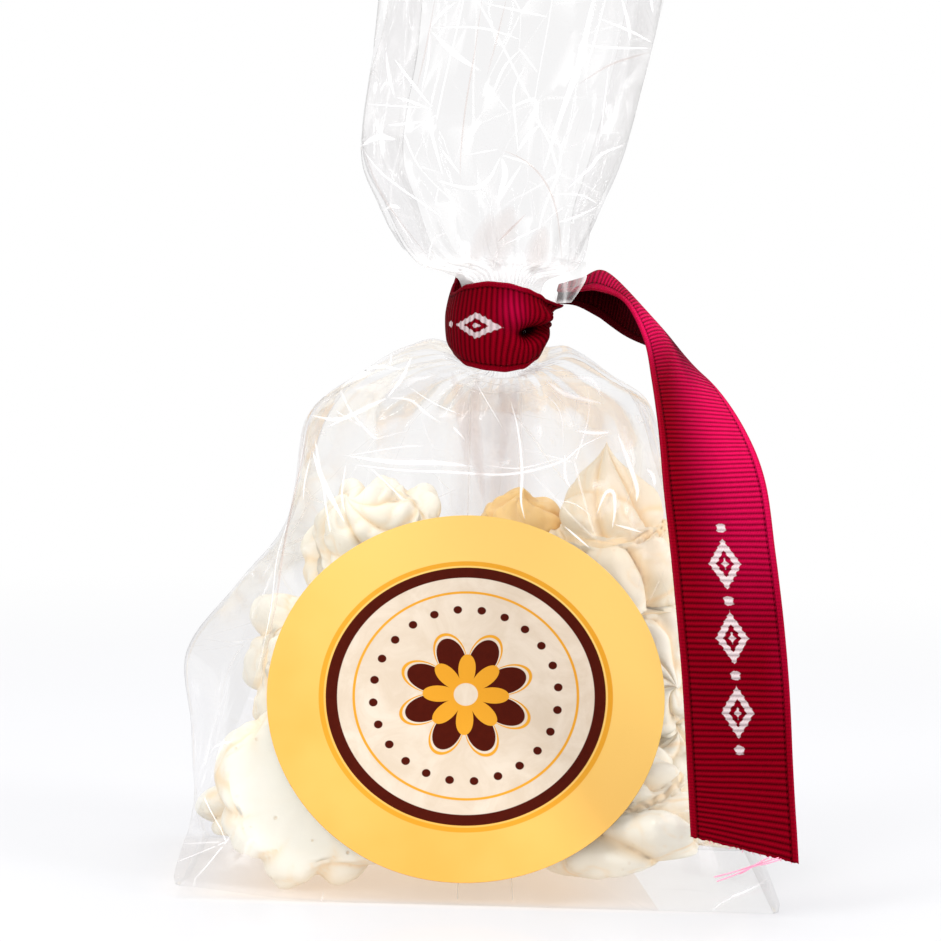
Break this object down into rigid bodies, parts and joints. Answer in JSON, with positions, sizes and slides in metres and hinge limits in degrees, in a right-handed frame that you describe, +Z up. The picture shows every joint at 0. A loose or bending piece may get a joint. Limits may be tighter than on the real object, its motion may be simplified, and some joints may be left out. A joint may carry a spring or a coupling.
{
  "type": "clear gift bag of meringue cookies",
  "caption": "Clear block-bottomed gift bag of piped meringue cookies, gathered and tied with a ribbon, with a flared top and a round label on its front.",
  "frame": {"origin": "middle of the flat base, on the surface that the bag stands on", "axes": "+Z up, -Y out of the front with the label, +X to the side where the ribbon's tail hangs"},
  "size_m": [0.1042, 0.0722, 0.1998],
  "materials": {
    "film": "gloss",
    "meringue": "satin",
    "label": "satin",
    "ribbon": "satin"
  },
  "bodies": {
    "root": {"bag": "film", "label": "label", "ribbon_band": "ribbon", "ribbon_knot": "ribbon", "ribbon_tail": "ribbon"}
  },
  "joints": []
}
